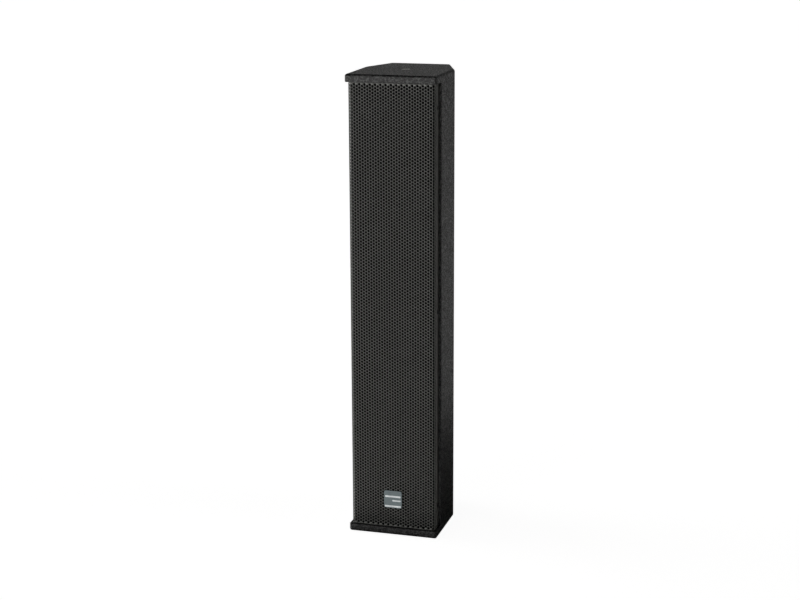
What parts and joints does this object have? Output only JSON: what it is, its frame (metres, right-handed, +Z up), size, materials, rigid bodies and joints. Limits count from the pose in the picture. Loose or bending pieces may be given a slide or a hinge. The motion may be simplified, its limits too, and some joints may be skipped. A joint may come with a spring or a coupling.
{
  "type": "passive column loudspeaker",
  "caption": "Slim passive column loudspeaker: black plywood cabinet with a tapered back, full-height perforated steel grille, small badge, top insert and pole socket.",
  "frame": {"origin": "middle of the footprint on the surface it stands on", "axes": "+Z up along the column; the grille faces -Y; +X is to the right when seen from the front"},
  "size_m": [0.176, 0.21, 0.89],
  "materials": {
    "cabinet_paint": "black structure paint on plywood",
    "grille_coat": "black powder coat, satin",
    "foam": "open-cell foam",
    "badge_metal": "brushed, blue-grey",
    "painted_steel": "black, satin",
    "ferrite": "dark grey magnet and plated steel",
    "cone_paper": "coated black",
    "surround_rubber": "matt",
    "spider_cloth": "resin-treated cloth",
    "black_plastic": "moulded, matt",
    "titanium": "thin formed metal",
    "zinc": "zinc plated",
    "board_laminate": "glass laminate",
    "copper": "enamelled winding",
    "capacitor_film": "wrapped film",
    "ceramic": "cement body",
    "cable_sheath": "flat twin sheath",
    "wadding": "polyester fibre"
  },
  "bodies": {
    "cabinet": {"top_panel": "cabinet_paint", "bottom_panel": "cabinet_paint", "left_side_panel": "cabinet_paint", "right_side_panel": "cabinet_paint", "left_rear_panel": "cabinet_paint", "right_rear_panel": "cabinet_paint", "back_panel": "cabinet_paint", "front_baffle": "cabinet_paint", "grille": "grille_coat", "grille_foam": "foam", "badge": "badge_metal", "grille_screw_left_1": "painted_steel", "grille_screw_left_2": "painted_steel", "grille_screw_left_3": "painted_steel", "grille_screw_right_1": "painted_steel", "grille_screw_right_2": "painted_steel", "grille_screw_right_3": "painted_steel", "woofer_1_basket": "painted_steel", "woofer_2_basket": "painted_steel", "woofer_3_basket": "painted_steel", "woofer_4_basket": "painted_steel", "pole_socket": "painted_steel", "connector_plate": "painted_steel", "woofer_1_motor": "ferrite", "woofer_2_motor": "ferrite", "woofer_3_motor": "ferrite", "woofer_4_motor": "ferrite", "tweeter_motor": "ferrite", "woofer_1_surround": "surround_rubber", "woofer_2_surround": "surround_rubber", "woofer_3_surround": "surround_rubber", "woofer_4_surround": "surround_rubber", "woofer_1_spider": "spider_cloth", "woofer_2_spider": "spider_cloth", "woofer_3_spider": "spider_cloth", "woofer_4_spider": "spider_cloth", "horn": "black_plastic", "tweeter_rear_cover": "black_plastic", "lower_port": "black_plastic", "upper_port": "black_plastic", "speaker_socket_1": "black_plastic", "speaker_socket_2": "black_plastic", "top_rigging_insert": "zinc", "crossover_board": "board_laminate", "low_pass_coil": "copper", "high_pass_coil": "copper", "low_pass_capacitor": "capacitor_film", "high_pass_capacitor": "capacitor_film", "tweeter_resistor": "ceramic", "input_lead": "cable_sheath", "lower_woofer_lead": "cable_sheath", "upper_woofer_lead": "cable_sheath", "tweeter_lead": "cable_sheath", "damping_pad": "wadding"},
    "cone_1": {"woofer_1_cone": "cone_paper"},
    "cone_2": {"woofer_2_cone": "cone_paper"},
    "cone_3": {"woofer_3_cone": "cone_paper"},
    "cone_4": {"woofer_4_cone": "cone_paper"},
    "tweeter_dome": {"tweeter_diaphragm": "titanium"}
  },
  "joints": [
    {"name": "woofer_1_slide", "type": "slide", "parent": "cabinet", "child": "cone_1", "axis": [0, -1, 0], "range_m": [-0.005, 0.005], "stiffness_N_per_m": 1500, "deforming": ["woofer_1_surround", "woofer_1_spider"]},
    {"name": "woofer_2_slide", "type": "slide", "parent": "cabinet", "child": "cone_2", "axis": [0, -1, 0], "range_m": [-0.005, 0.005], "stiffness_N_per_m": 1500, "deforming": ["woofer_2_surround", "woofer_2_spider"]},
    {"name": "woofer_3_slide", "type": "slide", "parent": "cabinet", "child": "cone_3", "axis": [0, -1, 0], "range_m": [-0.005, 0.005], "stiffness_N_per_m": 1500, "deforming": ["woofer_3_surround", "woofer_3_spider"]},
    {"name": "woofer_4_slide", "type": "slide", "parent": "cabinet", "child": "cone_4", "axis": [0, -1, 0], "range_m": [-0.005, 0.005], "stiffness_N_per_m": 1500, "deforming": ["woofer_4_surround", "woofer_4_spider"]},
    {"name": "tweeter_slide", "type": "slide", "parent": "cabinet", "child": "tweeter_dome", "axis": [0, -1, 0], "range_m": [-0.0003, 0.0003], "stiffness_N_per_m": 200}
  ]
}
